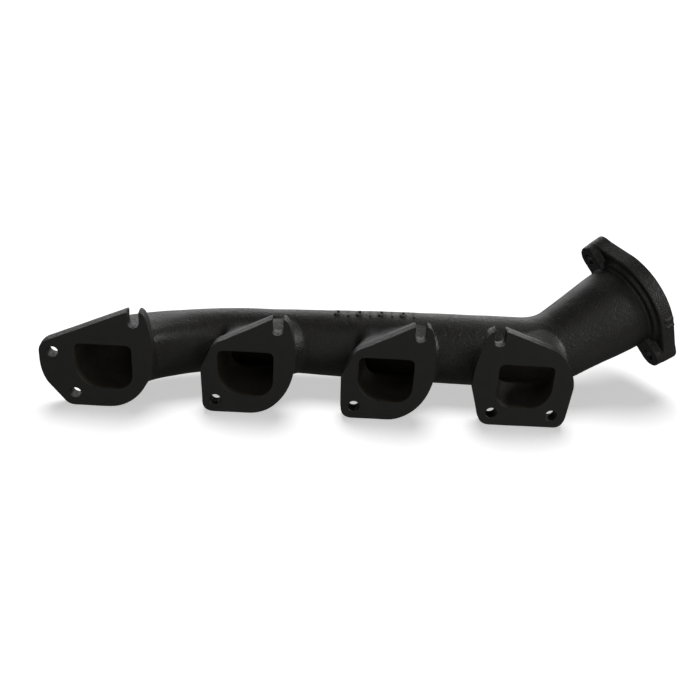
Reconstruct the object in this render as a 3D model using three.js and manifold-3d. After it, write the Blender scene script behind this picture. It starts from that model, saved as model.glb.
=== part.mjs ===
// Cast log-type exhaust manifold for one bank of a V8, in millimetres.
// +X runs along the port row from the closed end to the outlet, +Y points away from the cylinder head
// and +Z is up. The origin is on the port faces, half way along the row, at mid height of the ports.
// The real part is one casting: each mesh here is one named region of it, with a thin gap between regions.

import * as THREE from 'three';
import { mergeVertices } from 'three/addons/utils/BufferGeometryUtils.js';
import Module from 'manifold-3d';

const wasm = await Module();
wasm.setup();

// ---- driving dimensions -------------------------------------------------------------------------

const PORT_PITCH = 113.3;
const PORT_COUNT = 4;
const PORT_WIDTH = 45.2;
const PORT_HEIGHT = 39.6;
const PORT_TOP_RADIUS = 4.5;
const PORT_BIG_RADIUS = 19.5;    // lower corner on the side away from the slot
const PORT_SMALL_RADIUS = 13.5;  // lower corner under the slot

const FLANGE_THICKNESS = 11.8;
const FLANGE_BOTTOM = -36;
const FLANGE_CORNER_RADIUS = 10;
const STUD_HOLE_DIAMETER = 9.2;
const STUD_X = 25.2;             // slot and lower hole, either side of the port centre
const SLOT_BOTTOM_CENTRE = 39.8;
const LOWER_HOLE_Z = -24.9;
const LUG_TOP = 48.9;
const SIDE_HOLE = new THREE.Vector2(-40.2, 11.2);
const SIDE_LUG_RADIUS = 10.7;

const WALL = 5;
const LOG_Y = 63;
const LOG_Z = 1.4;
const LOG_RADIUS_FIRST = 26.9;   // outside radius where the end bend has straightened
const LOG_RADIUS_MIDDLE = 29.8;  // outside radius at port 3
const LOG_RADIUS_LAST = 30.9;    // outside radius at the elbow
const END_BEND_LENGTH = 130;
const RUNNER_SWEEP = 56;         // how far a runner sweeps along the log before it has merged
const RUNNER_END_Y = 30;         // the plane that parts the runners from the log
const LAST_RUNNER_MERGE = 0.85;  // share of the elbow that the last runner sweeps along
const ROUND_HANDLE = 0.5523;     // handle length of a quarter turn drawn as a cubic
const MERGE_DEPTH = 2.2;         // how far a merged runner end sits below the log's skin

const OUTLET_HEADING = 23.2;     // degrees from +X towards +Y
const OUTLET_RISE = 25.5;        // degrees above level
const ELBOW_RADIUS = 70;
const ELBOW_START = 5;           // from port 4, along the log
const ELBOW_STRAIGHT = 61;
const OUTLET_OUTER_RADIUS = 37.5;
const OUTLET_BORE_RADIUS = 31.75;

const OUTLET_BOLT_SPACING = 99;
const OUTLET_BOLT_ANGLE = 52.5;  // degrees of the bolt line above level, seen along the outlet
const OUTLET_HOLE_DIAMETER = 10.5;
const OUTLET_PLATE = 12.7;
const OUTLET_BOSS = 7.3;         // height of the two bosses behind the plate
const OUTLET_COLLAR = 3.5;       // height of the ring that steps from the plate down to the neck
const OUTLET_COLLAR_RADIUS = 42.2;
const OUTLET_PLATE_RADIUS = 47.5;
const OUTLET_LUG_RADIUS = 12;
const OUTLET_BOSS_REACH = 18;    // how far a boss runs in from its bolt hole towards the bore

const MARK_COUNT = 8;
const MARK_PITCH = 9.3;
const MARK_WIDTH = 6.4;          // the marks are frames and single strokes by turns
const MARK_LENGTH = 10;
const MARK_STROKE = 1.9;
const MARK_HEIGHT = 0.9;
const MARK_FIRST_X = 16;

const GAP = 0.3;
const SECTION_POINTS = 20;
const RUNNER_STEPS = 7;
const ELBOW_STEPS = 4;
const OUTLET_STEPS = 4;
const ARC_POINTS = 5;

const BIG = 1000;
const LEFT = 1;                  // side of the lower corner with the big radius
const RIGHT = -1;

// ---- solids -------------------------------------------------------------------------------------

function solid(geometry) {
  const bare = geometry.index ? geometry.toNonIndexed() : geometry.clone();
  bare.deleteAttribute('normal');
  bare.deleteAttribute('uv');
  const merged = mergeVertices(bare, 1e-4);
  return new wasm.Manifold(new wasm.Mesh({
    numProp: 3,
    vertProperties: new Float32Array(merged.attributes.position.array),
    triVerts: new Uint32Array(merged.index.array),
  }));
}

function geometryOf(manifold) {
  const mesh = manifold.getMesh();
  const geometry = new THREE.BufferGeometry();
  geometry.setAttribute('position', new THREE.BufferAttribute(new Float32Array(mesh.vertProperties), 3));
  geometry.setIndex(new THREE.BufferAttribute(new Uint32Array(mesh.triVerts), 1));
  geometry.computeVertexNormals();
  return geometry;
}

// A closed loft through rings of equal length. Each ring is a list of 3-D points that runs
// anticlockwise as seen from the start of the loft.
function loft(rings) {
  const count = rings[0].length;
  const positions = rings.flat().flatMap((point) => point.toArray());
  const index = [];
  for (let r = 0; r + 1 < rings.length; r += 1) {
    for (let i = 0; i < count; i += 1) {
      const a = r * count + i;
      const b = r * count + (i + 1) % count;
      index.push(a, b + count, b, a, a + count, b + count);
    }
  }
  const last = (rings.length - 1) * count;
  for (let i = 1; i + 1 < count; i += 1) {
    index.push(0, i, i + 1);
    index.push(last, last + i + 1, last + i);
  }
  const geometry = new THREE.BufferGeometry();
  geometry.setAttribute('position', new THREE.Float32BufferAttribute(positions, 3));
  geometry.setIndex(index);
  return geometry;
}

// One ring: a flat outline set square to a path, with its upright axis as near to +Z as it can be.
function ring(outline, centre, tangent) {
  const side = new THREE.Vector3(0, 0, 1).cross(tangent).negate().normalize();
  const up = side.clone().cross(tangent).normalize();
  return outline.map((p) => centre.clone().addScaledVector(side, p.x).addScaledVector(up, p.y));
}

// Rings along a path, without the first one where the path carries on from another.
function ringsAlong(path, outlineAt, steps, first = 0) {
  const rings = [];
  for (let i = first; i <= steps; i += 1) {
    const t = i / steps;
    rings.push(ring(outlineAt(t), path.getPointAt(t), path.getTangentAt(t)));
  }
  return rings;
}

// Everything ahead of a plane square to a direction, as a very large block.
function ahead(point, direction) {
  const block = new THREE.BoxGeometry(BIG, BIG, BIG);
  block.translate(0, 0, BIG / 2);
  block.applyQuaternion(new THREE.Quaternion().setFromUnitVectors(new THREE.Vector3(0, 0, 1), direction));
  block.translate(point.x, point.y, point.z);
  return solid(block);
}

// ---- outlines -----------------------------------------------------------------------------------

// The D-shaped port, grown by an offset. bigSide says which lower corner has the big radius.
function portShape(grow, bigSide) {
  const w = PORT_WIDTH / 2 + grow;
  const h = PORT_HEIGHT / 2 + grow;
  const top = PORT_TOP_RADIUS + grow;
  const lowLeft = (bigSide === LEFT ? PORT_BIG_RADIUS : PORT_SMALL_RADIUS) + grow;
  const lowRight = (bigSide === LEFT ? PORT_SMALL_RADIUS : PORT_BIG_RADIUS) + grow;
  const quarter = Math.PI / 2;
  const shape = new THREE.Shape();
  shape.moveTo(w, 0);
  shape.absarc(w - top, h - top, top, 0, quarter);
  shape.absarc(top - w, h - top, top, quarter, 2 * quarter);
  shape.absarc(lowLeft - w, lowLeft - h, lowLeft, 2 * quarter, 3 * quarter);
  shape.absarc(w - lowRight, lowRight - h, lowRight, 3 * quarter, 4 * quarter);
  shape.closePath();
  return shape;
}

function portOutline(grow, bigSide) {
  return portShape(grow, bigSide).getSpacedPoints(SECTION_POINTS).slice(0, SECTION_POINTS);
}

function circleOutline(radius) {
  const points = [];
  for (let i = 0; i < SECTION_POINTS; i += 1) {
    const angle = 2 * Math.PI * i / SECTION_POINTS;
    points.push(new THREE.Vector2(radius * Math.cos(angle), radius * Math.sin(angle)));
  }
  return points;
}

function blend(a, b, weight) {
  return a.map((point, i) => point.clone().lerp(b[i], weight));
}

function roundHole(x, z, diameter) {
  const hole = new THREE.Path();
  hole.absarc(x, z, diameter / 2, 0, 2 * Math.PI, true);
  return hole;
}

// The open-topped slot and its two lips, drawn from the right-hand lip to the left-hand one.
function drawSlot(shape) {
  const r = STUD_HOLE_DIAMETER / 2;
  shape.lineTo(STUD_X + r, LUG_TOP + 0.4);
  shape.lineTo(STUD_X + r, SLOT_BOTTOM_CENTRE);
  shape.absarc(STUD_X, SLOT_BOTTOM_CENTRE, r, 0, -Math.PI, true);
  shape.lineTo(STUD_X - r, LUG_TOP);
}

// The side under the slot, drawn upwards from the flat bottom edge; the same on ports 1 to 3.
function drawSlotSide(shape) {
  shape.lineTo(3, FLANGE_BOTTOM);
  shape.bezierCurveTo(23, FLANGE_BOTTOM, 39.5, -14, 39.5, 12);
  shape.quadraticCurveTo(39.5, 27, 36.3, 39);
  shape.quadraticCurveTo(34.5, 46.5, 31.8, 48.4);
  drawSlot(shape);
}

function endFlangeOutline() {
  const shape = new THREE.Shape();
  shape.moveTo(-24.5, FLANGE_BOTTOM);
  drawSlotSide(shape);
  shape.absarc(SIDE_HOLE.x, SIDE_HOLE.y, SIDE_LUG_RADIUS, THREE.MathUtils.degToRad(113), Math.PI);
  shape.lineTo(SIDE_HOLE.x - SIDE_LUG_RADIUS, 4);
  shape.quadraticCurveTo(-50.4, -8.8, -45.4, -16.6);
  shape.lineTo(-32.8, -32.6);
  shape.quadraticCurveTo(-30, FLANGE_BOTTOM, -24.5, FLANGE_BOTTOM);
  return shape;
}

function middleFlangeOutline() {
  const left = -35;
  const r = FLANGE_CORNER_RADIUS;
  const shape = new THREE.Shape();
  shape.moveTo(left + r, FLANGE_BOTTOM);
  drawSlotSide(shape);
  shape.lineTo(-19.5, 27.9);
  shape.quadraticCurveTo(-23, 26, -25, 22.6);
  shape.lineTo(-34.4, 6.6);
  shape.quadraticCurveTo(-36, 3.9, -36, 0.5);
  shape.lineTo(left, FLANGE_BOTTOM + r);
  shape.quadraticCurveTo(left, FLANGE_BOTTOM, left + r, FLANGE_BOTTOM);
  return shape;
}

// Drawn as its mirror image, slot on the right, and mirrored afterwards.
function lastFlangeOutline() {
  const r = FLANGE_CORNER_RADIUS;
  const shape = new THREE.Shape();
  shape.moveTo(-28, FLANGE_BOTTOM);
  shape.lineTo(35 - r, FLANGE_BOTTOM);
  shape.quadraticCurveTo(33.8, FLANGE_BOTTOM, 35.6, FLANGE_BOTTOM + r);
  shape.lineTo(42.6, -2);
  shape.quadraticCurveTo(43.6, 10, 40.4, 23);
  shape.quadraticCurveTo(38.4, 34, 35.2, 43.6);
  shape.quadraticCurveTo(33.8, 47, 31, 47.6);
  drawSlot(shape);
  shape.lineTo(-18, 35);
  shape.bezierCurveTo(-29, 31, -39.8, 14, -39.6, 1);
  shape.lineTo(-37.2, -25);
  shape.quadraticCurveTo(-36, FLANGE_BOTTOM, -28, FLANGE_BOTTOM);
  return shape;
}

function mirrored(shape) {
  const points = shape.getPoints(ARC_POINTS).map((p) => new THREE.Vector2(-p.x, p.y));
  return new THREE.Shape(points.reverse());
}

// ---- paths --------------------------------------------------------------------------------------

const radians = THREE.MathUtils.degToRad;
const portX = (port) => (port - (PORT_COUNT + 1) / 2) * PORT_PITCH;

const outletAxis = new THREE.Vector3(
  Math.cos(radians(OUTLET_RISE)) * Math.cos(radians(OUTLET_HEADING)),
  Math.cos(radians(OUTLET_RISE)) * Math.sin(radians(OUTLET_HEADING)),
  Math.sin(radians(OUTLET_RISE)),
);
const elbowTurn = Math.acos(outletAxis.x);
const elbowSide = new THREE.Vector3(0, outletAxis.y, outletAxis.z).normalize();
const elbowStart = new THREE.Vector3(portX(PORT_COUNT) + ELBOW_START, LOG_Y, LOG_Z);

class ElbowArc extends THREE.Curve {
  getPoint(t, target = new THREE.Vector3()) {
    const angle = t * elbowTurn;
    return target.copy(elbowStart)
      .add(new THREE.Vector3(ELBOW_RADIUS * Math.sin(angle), 0, 0))
      .addScaledVector(elbowSide, ELBOW_RADIUS * (1 - Math.cos(angle)));
  }
}

const logStart = new THREE.Vector3(portX(1) + END_BEND_LENGTH, LOG_Y, LOG_Z);
const elbowArc = new ElbowArc();
const elbowEnd = elbowArc.getPoint(1);
const bossPlane = elbowEnd.clone().addScaledVector(outletAxis, ELBOW_STRAIGHT);
const plateBack = bossPlane.clone().addScaledVector(outletAxis, OUTLET_BOSS);
const outletFace = plateBack.clone().addScaledVector(outletAxis, OUTLET_PLATE);
const outletRun = new THREE.LineCurve3(elbowEnd, outletFace);

// A cut is a plane square to the passage.
const along = new THREE.Vector3(1, 0, 0);
const cutAtX = (x) => ({ point: new THREE.Vector3(x, LOG_Y, LOG_Z), direction: along });
const cutOn = (path, t) => ({ point: path.getPointAt(t), direction: path.getTangentAt(t) });

// A runner leaves its port heading +Y and turns until it lies along the passage it has merged with.
function runnerPath(port) {
  const merge = port === PORT_COUNT
    ? cutOn(elbowArc, LAST_RUNNER_MERGE)
    : cutAtX(portX(port) + (port === 1 ? END_BEND_LENGTH : RUNNER_SWEEP));
  const start = new THREE.Vector3(portX(port), 0, 0);
  const reach = ROUND_HANDLE * (merge.point.x - start.x);
  return new THREE.CubicBezierCurve3(
    start,
    new THREE.Vector3(start.x, ROUND_HANDLE * LOG_Y, 0),
    merge.point.clone().addScaledVector(merge.direction, -reach),
    merge.point,
  );
}

const endBend = runnerPath(1);

// ---- the hollow body, before it is parted into regions -------------------------------------------

function logRadius(x) {
  const middle = portX(3);
  return x < middle
    ? THREE.MathUtils.mapLinear(x, logStart.x, middle, LOG_RADIUS_FIRST, LOG_RADIUS_MIDDLE)
    : THREE.MathUtils.mapLinear(x, middle, elbowStart.x, LOG_RADIUS_MIDDLE, LOG_RADIUS_LAST);
}

function logRing(x, grow) {
  return ring(circleOutline(logRadius(x) - WALL + grow), new THREE.Vector3(x, LOG_Y, LOG_Z), along);
}
const smooth = (t) => THREE.MathUtils.smoothstep(t, 0, 1);

// grow is WALL for the outside and 0 for the passage inside it.
function runnerRings(port, grow, sink) {
  const path = runnerPath(port);
  const start = portOutline(grow, port === PORT_COUNT ? RIGHT : LEFT);
  const endX = Math.min(path.v3.x, elbowStart.x);
  const end = circleOutline(logRadius(endX) - WALL + grow - sink);
  return ringsAlong(path, (t) => blend(start, end, smooth(t * 1.15)), RUNNER_STEPS);
}

function elbowRings(grow) {
  const from = LOG_RADIUS_LAST - WALL + grow;
  const to = grow > 0 ? OUTLET_OUTER_RADIUS : OUTLET_BORE_RADIUS;
  const arcLength = ELBOW_RADIUS * elbowTurn;
  const share = arcLength / (arcLength + outletRun.getLength());
  const outlineAt = (u) => circleOutline(THREE.MathUtils.lerp(from, to, smooth(u * 1.2) ** 2));
  return [
    ...ringsAlong(elbowArc, (t) => outlineAt(t * share), ELBOW_STEPS),
    ...ringsAlong(outletRun, (t) => outlineAt(share + t * (1 - share)), OUTLET_STEPS, 1),
  ];
}

// The main passage is one loft from port 1 to the outlet face; the other runners join it.
function passage(grow, sink) {
  let body = solid(loft([...runnerRings(1, grow, 0), logRing(portX(3), grow), ...elbowRings(grow)]));
  for (let port = 2; port <= PORT_COUNT; port += 1) {
    body = body.add(solid(loft(runnerRings(port, grow, sink))));
  }
  return body;
}

const casting = passage(WALL, MERGE_DEPTH).subtract(passage(0, MERGE_DEPTH));

// ---- parting the body into regions ---------------------------------------------------------------

const root = new THREE.Group();
const castIron = { color: 0x262624, roughness: 0.55, metalness: 0.25 };
const machined = { color: 0x2c2c2a, roughness: 0.5, metalness: 0.3 };

function place(name, shape, finish) {
  const geometry = shape.isBufferGeometry ? shape : geometryOf(shape);
  const mesh = new THREE.Mesh(geometry, new THREE.MeshStandardMaterial(finish));
  mesh.name = name;
  root.add(mesh);
  return mesh;
}

const away = new THREE.Vector3(0, 1, 0);
const halfGap = GAP / 2;

// A region lies between two cuts.
function between(body, first, second) {
  const start = first.point.clone().addScaledVector(first.direction, halfGap);
  const end = second.point.clone().addScaledVector(second.direction, -halfGap);
  return body.intersect(ahead(start, first.direction)).subtract(ahead(end, second.direction));
}

const flangeBack = new THREE.Vector3(0, FLANGE_THICKNESS + GAP, 0);
const behindFlanges = casting.intersect(ahead(flangeBack, away));
const endBendCut = cutOn(endBend, 0.36);
const ownSide = cutAtX(portX(1) + 50);

const endRegion = behindFlanges.subtract(ahead(ownSide.point, along));
place('port_runner_1', endRegion.subtract(
  ahead(endBendCut.point.clone().addScaledVector(endBendCut.direction, -halfGap), endBendCut.direction),
), castIron);

const logBody = behindFlanges.intersect(ahead(new THREE.Vector3(0, RUNNER_END_Y + halfGap, 0), away));
const junctionStart = (port) => cutAtX(portX(port) - 32);
const junctionEnd = (port) => cutAtX(portX(port) + 50);
const elbowCut = cutOn(elbowArc, 0.72);
const neckCut = cutOn(outletRun, 0.32);
const plateCut = { point: plateBack, direction: outletAxis };

place('end_bend', between(behindFlanges, endBendCut, cutAtX(portX(1) + 60)), castIron);
place('log_section_1', between(behindFlanges, cutAtX(portX(1) + 60), junctionStart(2)), castIron);
place('log_junction_2', between(logBody, junctionStart(2), junctionEnd(2)), castIron);
place('log_section_2', between(logBody, junctionEnd(2), junctionStart(3)), castIron);
place('log_junction_3', between(logBody, junctionStart(3), junctionEnd(3)), castIron);
place('log_section_3', between(logBody, junctionEnd(3), junctionStart(4)), castIron);
place('log_junction_4', between(logBody, junctionStart(4), elbowCut), castIron);
place('outlet_elbow', between(logBody, elbowCut, neckCut), castIron);
place('outlet_neck', between(casting, neckCut, plateCut), castIron);

for (let port = 2; port <= PORT_COUNT; port += 1) {
  const region = between(behindFlanges, junctionStart(port), junctionEnd(port));
  const end = new THREE.Vector3(0, RUNNER_END_Y - halfGap, 0);
  place(`port_runner_${port}`, region.subtract(ahead(end, away)), castIron);
}

// ---- port flanges --------------------------------------------------------------------------------

function flangePlate(outline, holes, bigSide) {
  outline.holes.push(...holes.map(([x, z]) => roundHole(x, z, STUD_HOLE_DIAMETER)));
  outline.holes.push(new THREE.Path(portShape(0, bigSide).getPoints(4)));
  const plate = new THREE.ExtrudeGeometry(outline, {
    depth: FLANGE_THICKNESS, bevelEnabled: false, curveSegments: ARC_POINTS,
  });
  plate.rotateX(Math.PI / 2);
  plate.translate(0, FLANGE_THICKNESS, 0);
  return plate;
}

const lowerLeft = [-STUD_X + 0.8, LOWER_HOLE_Z];
const lowerRight = [STUD_X, LOWER_HOLE_Z];
const plates = [
  flangePlate(endFlangeOutline(), [lowerLeft, SIDE_HOLE.toArray()], LEFT),
  flangePlate(middleFlangeOutline(), [lowerLeft], LEFT),
  flangePlate(middleFlangeOutline(), [lowerLeft], LEFT),
  flangePlate(mirrored(lastFlangeOutline()), [lowerLeft, lowerRight], RIGHT),
];
plates.forEach((plate, i) => {
  place(`port_flange_${i + 1}`, plate, machined).position.set(portX(i + 1), 0, 0);
});

// ---- outlet flange -------------------------------------------------------------------------------

// The flange is drawn in its own plane, bolt line along its X axis and outlet axis along its Z axis.
function lugOutline(x, reach) {
  const r = OUTLET_LUG_RADIUS;
  const quarter = Math.PI / 2;
  const shape = new THREE.Shape();
  shape.absarc(x, 0, r, -quarter, quarter);
  shape.lineTo(x - reach, r);
  shape.lineTo(x - reach, -r);
  return shape;
}

function plateOutline() {
  const half = OUTLET_BOLT_SPACING / 2;
  const tilt = Math.acos((OUTLET_PLATE_RADIUS - OUTLET_LUG_RADIUS) / half);
  const shape = new THREE.Shape();
  shape.absarc(half, 0, OUTLET_LUG_RADIUS, -tilt, tilt);
  shape.absarc(0, 0, OUTLET_PLATE_RADIUS, tilt, Math.PI - tilt);
  shape.absarc(-half, 0, OUTLET_LUG_RADIUS, Math.PI - tilt, Math.PI + tilt);
  shape.absarc(0, 0, OUTLET_PLATE_RADIUS, Math.PI + tilt, 2 * Math.PI - tilt);
  return shape;
}

function extruded(shape, depth, from) {
  const geometry = new THREE.ExtrudeGeometry(shape, { depth, bevelEnabled: false, curveSegments: 10 });
  geometry.translate(0, 0, from);
  return solid(geometry);
}

function cylinder(radius, length, from, x = 0, segments = SECTION_POINTS) {
  const geometry = new THREE.CylinderGeometry(radius, radius, length, segments);
  geometry.rotateX(Math.PI / 2);
  geometry.translate(x, 0, from + length / 2);
  return solid(geometry);
}

function outletFlange() {
  const half = OUTLET_BOLT_SPACING / 2;
  let flange = extruded(plateOutline(), OUTLET_PLATE, OUTLET_BOSS);
  const boss = extruded(lugOutline(half, OUTLET_BOSS_REACH), OUTLET_BOSS + 1, 0);
  flange = flange.add(boss).add(boss.rotate([0, 0, 180]));
  flange = flange.add(cylinder(OUTLET_COLLAR_RADIUS, OUTLET_COLLAR + 1, OUTLET_BOSS - OUTLET_COLLAR));
  flange = flange.subtract(cylinder(OUTLET_OUTER_RADIUS + GAP, OUTLET_BOSS + 1, -1));
  flange = flange.subtract(cylinder(OUTLET_BORE_RADIUS, OUTLET_BOSS + OUTLET_PLATE + 2, -1));
  for (const x of [half, -half]) {
    flange = flange.subtract(cylinder(OUTLET_HOLE_DIAMETER / 2, OUTLET_BOSS + OUTLET_PLATE + 2, -1, x, 16));
  }
  return flange;
}

const level = new THREE.Vector3(0, 0, 1).cross(outletAxis).normalize();
const upright = outletAxis.clone().cross(level);
const boltLine = level.clone().multiplyScalar(Math.cos(radians(OUTLET_BOLT_ANGLE)))
  .addScaledVector(upright, Math.sin(radians(OUTLET_BOLT_ANGLE)));
const outletFrame = new THREE.Matrix4().makeBasis(boltLine, outletAxis.clone().cross(boltLine), outletAxis);

const outlet = place('outlet_flange', outletFlange(), machined);
outlet.quaternion.setFromRotationMatrix(outletFrame);
outlet.position.copy(bossPlane);

// ---- raised foundry marks on top of the log ------------------------------------------------------

const logSkin = solid(loft([logStart.x, portX(3), elbowStart.x].map((x) => logRing(x, WALL + GAP))));
function markBlock(x, width, length, height) {
  const block = new THREE.BoxGeometry(width, length, 2 * height);
  block.translate(x, LOG_Y, LOG_Z + logRadius(x));
  return solid(block);
}

for (let i = 0; i < MARK_COUNT; i += 1) {
  const x = MARK_FIRST_X + i * MARK_PITCH;
  const framed = i % 2 === 0;
  let mark = markBlock(x, framed ? MARK_WIDTH : MARK_STROKE, MARK_LENGTH, MARK_HEIGHT);
  if (framed) {
    const inside = 2 * MARK_STROKE;
    mark = mark.subtract(markBlock(x, MARK_WIDTH - inside, MARK_LENGTH - inside, 2 * MARK_HEIGHT));
  }
  place(`foundry_mark_${i + 1}`, mark.subtract(logSkin), castIron);
}

export default root;
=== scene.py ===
"""Looks of a cast log-type exhaust manifold: four D-shaped ports on their own flanges, a log that
collects them and an elbow up to a two-bolt outlet flange. The shape is worked out in millimetres as one
field of distances, as a founder would blend one casting, then meshed, machined and parted into the same
regions as the frame's nodes."""

import math

import bpy
import numpy as np
import openvdb
from mathutils import Matrix, Vector


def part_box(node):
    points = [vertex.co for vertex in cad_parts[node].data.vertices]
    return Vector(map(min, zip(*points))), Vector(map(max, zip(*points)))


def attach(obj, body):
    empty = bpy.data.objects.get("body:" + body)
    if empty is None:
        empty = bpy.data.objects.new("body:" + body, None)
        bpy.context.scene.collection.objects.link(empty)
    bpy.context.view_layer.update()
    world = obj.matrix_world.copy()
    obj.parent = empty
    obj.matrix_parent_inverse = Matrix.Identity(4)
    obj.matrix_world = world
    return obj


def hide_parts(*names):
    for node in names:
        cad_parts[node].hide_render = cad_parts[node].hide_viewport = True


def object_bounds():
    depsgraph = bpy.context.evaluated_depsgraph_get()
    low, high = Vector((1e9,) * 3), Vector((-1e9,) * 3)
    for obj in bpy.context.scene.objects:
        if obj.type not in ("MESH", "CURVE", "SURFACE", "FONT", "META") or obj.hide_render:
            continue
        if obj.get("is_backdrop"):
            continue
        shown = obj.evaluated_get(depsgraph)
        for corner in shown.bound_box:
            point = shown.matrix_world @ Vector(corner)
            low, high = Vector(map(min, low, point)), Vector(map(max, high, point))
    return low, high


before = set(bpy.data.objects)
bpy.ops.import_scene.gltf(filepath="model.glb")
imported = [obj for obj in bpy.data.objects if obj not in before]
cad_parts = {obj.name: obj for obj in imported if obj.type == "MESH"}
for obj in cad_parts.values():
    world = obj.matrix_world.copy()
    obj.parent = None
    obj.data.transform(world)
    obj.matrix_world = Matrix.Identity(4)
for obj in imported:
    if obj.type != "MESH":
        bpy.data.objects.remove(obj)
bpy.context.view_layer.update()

MM = 0.001

# ---- dimensions of the part, in millimetres ------------------------------------------------------

PORT_PITCH = 113.3
PORT_COUNT = 4
PORT_WIDTH = 45.2
PORT_HEIGHT = 39.6
PORT_TOP_RADIUS = 4.5
PORT_BIG_RADIUS = 19.5
PORT_SMALL_RADIUS = 13.5

FLANGE_THICKNESS = 11.8
FLANGE_BOTTOM = -36.0
FLANGE_CORNER = 10.0
STUD_HOLE = 4.6
STUD_X = 25.2
SLOT_BOTTOM_CENTRE = 39.8
LOWER_HOLE = (-24.4, -24.9)
LUG_TOP = 48.9
SIDE_HOLE = (-40.2, 11.2)
SIDE_LUG_RADIUS = 10.7

WALL = 5.0
LOG_Y = 63.0
LOG_Z = 1.4
LOG_RADIUS_FIRST = 26.9
LOG_RADIUS_MIDDLE = 29.8
LOG_RADIUS_LAST = 30.9
END_BEND_LENGTH = 130.0
RUNNER_SWEEP = 56.0
RUNNER_END_Y = 30.0
LAST_RUNNER_MERGE = 0.85
ROUND_HANDLE = 0.5523
MERGE_DEPTH = 2.2

OUTLET_HEADING = math.radians(23.2)
OUTLET_RISE = math.radians(25.5)
ELBOW_RADIUS = 70.0
ELBOW_START = 5.0
ELBOW_STRAIGHT = 61.0
OUTLET_OUTER_RADIUS = 37.5
OUTLET_BORE_RADIUS = 31.75
OUTLET_BOLT_SPACING = 99.0
OUTLET_BOLT_ANGLE = math.radians(52.5)
OUTLET_HOLE = 5.25
OUTLET_PLATE = 12.7
OUTLET_BOSS = 7.3
OUTLET_COLLAR = 3.5
OUTLET_COLLAR_RADIUS = 42.2
OUTLET_PLATE_RADIUS = 47.5
OUTLET_LUG_RADIUS = 12.0
BOSS_REACH = 18.0
RIM_RIB_ANGLES = (128.0, 137.0)       # from the upper bolt, towards the underside
RIM_RIB_RADIUS = 1.1

MARK_COUNT = 8
MARK_PITCH = 9.3
MARK_WIDTH = 6.4
MARK_LENGTH = 10.0
MARK_STROKE = 1.9
MARK_HEIGHT = 0.9
MARK_FIRST_X = 16.0

# ---- how the pattern and the core were made ------------------------------------------------------

DRAFT = math.tan(math.radians(4))   # both ways from the parting line half way through a flange
PARTING_SWELL = DRAFT * FLANGE_THICKNESS / 2
BACK_EDGE_ROUND = 1.8
FLANGE_FILLET = 5.0
RUNNER_FILLET = 9.0
CORE_FILLET = 5.0
PLATE_EDGE_ROUND = 1.4
BOSS_EDGE_ROUND = 0.8
BOSS_FILLET = 1.6
COLLAR_FILLET = 2.2
COLLAR_EDGE_ROUND = 1.3
MACHINING_STOCK = 6.0               # cast past the faces, then cut away
SAND_WAVE = 0.10                    # height of the long waves that sand leaves in a skin
SAND_WAVE_LENGTH = 14.0
SKIN_SAND_SEED = 11
CORE_SAND_SEED = 12
RUNNER_EASE = 1.15                  # a runner is round before its end by this much
ELBOW_EASE = 1.2
STUD_HOLE_CHAMFER = 0.35
OUTLET_HOLE_CHAMFER = 0.4

CORE_SKIN = 0.45                    # a face this near the core's field was shaped by it
CAST_SKIN = 0.3                     # and a point this near the whole field was left as cast
SHARP_EDGE = math.radians(28)
SKIN_LEAN = math.radians(35)        # most that a cast face leans from the field's normal

VOXEL = 1.0
BAND = 12.0                         # distances are exact up to this far from a surface
SECTION_POINTS = 96
OUTLINE_POINTS = 480
MARK_POINTS = 64
CIRCLE_SEGMENTS = 64
PATH_POINTS = 400
RING_SPACING = 3.0
BIG = 1000.0
X, Y, Z = np.eye(3)


def port_x(port):
    return (port - (PORT_COUNT + 1) / 2) * PORT_PITCH


def smooth(t):
    t = np.clip(t, 0, 1)
    return t * t * (3 - 2 * t)


def unit(v):
    return v / np.linalg.norm(v)


# ---- lines and outlines --------------------------------------------------------------------------


class Pen:
    """Draws a flat outline as a closed list of points."""

    def __init__(self, x, z):
        self.points = [(x, z)]

    def line(self, x, z):
        self.points.append((x, z))
        return self

    def curve(self, *handles):
        rows = np.array([self.points[-1], *handles], float)
        for t in np.linspace(0, 1, 17)[1:]:
            row = rows
            while len(row) > 1:
                row = row[:-1] * (1 - t) + row[1:] * t
            self.points.append(tuple(row[0]))
        return self

    def arc(self, centre, radius, start, end):
        for angle in np.radians(np.linspace(start, end, 25)):
            x, z = centre[0] + radius * math.cos(angle), centre[1] + radius * math.sin(angle)
            self.points.append((x, z))
        return self

    def slot(self):
        """The open-topped stud slot, from its right-hand lip to its left-hand one."""
        self.line(STUD_X + STUD_HOLE, LUG_TOP + 0.4)
        self.arc((STUD_X, SLOT_BOTTOM_CENTRE), STUD_HOLE, 0, -180)
        return self.line(STUD_X - STUD_HOLE, LUG_TOP)

    def slot_side(self):
        """The side under the slot, upwards from the flat bottom edge."""
        self.line(3, FLANGE_BOTTOM)
        self.curve((23, FLANGE_BOTTOM), (39.5, -14), (39.5, 12))
        self.curve((39.5, 27), (36.3, 39))
        self.curve((34.5, 46.5), (31.8, 48.4))
        return self.slot()


def end_flange_outline():
    lug = SIDE_HOLE[0] - SIDE_LUG_RADIUS
    pen = Pen(-24.5, FLANGE_BOTTOM).slot_side()
    pen.arc(SIDE_HOLE, SIDE_LUG_RADIUS, 113, 180).line(lug, 4)
    pen.curve((-50.4, -8.8), (-45.4, -16.6)).line(-32.8, -32.6)
    return pen.curve((-30, FLANGE_BOTTOM), (-24.5, FLANGE_BOTTOM)).points


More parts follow.
